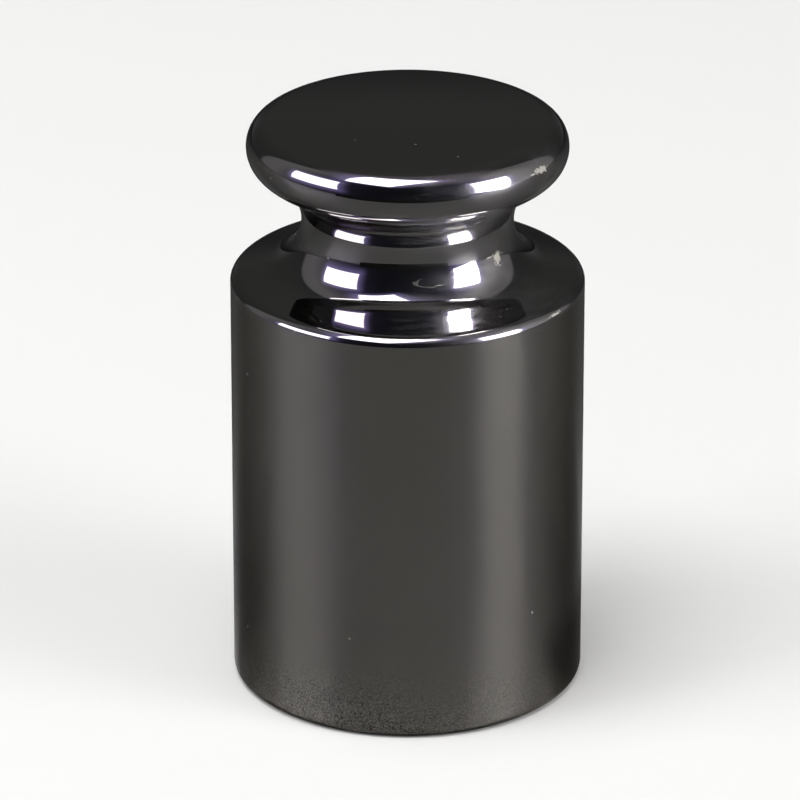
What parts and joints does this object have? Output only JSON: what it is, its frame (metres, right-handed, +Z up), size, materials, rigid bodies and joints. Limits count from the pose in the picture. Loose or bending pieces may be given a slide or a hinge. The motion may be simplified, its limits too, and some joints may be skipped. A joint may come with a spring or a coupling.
{
  "type": "calibration weight",
  "caption": "Polished steel calibration weight: a plain cylinder with a flat shoulder, a waisted neck for a lifting fork and a low mushroom knob.",
  "frame": {"origin": "centre of the flat base, on the turning axis", "axes": "+Z up along the turning axis, from the base to the knob; X and Y are alike, because the weight is round"},
  "size_m": [0.038, 0.038, 0.0642],
  "materials": {
    "polished_steel": "polished"
  },
  "bodies": {
    "root": {"weight": "polished_steel"}
  },
  "joints": []
}
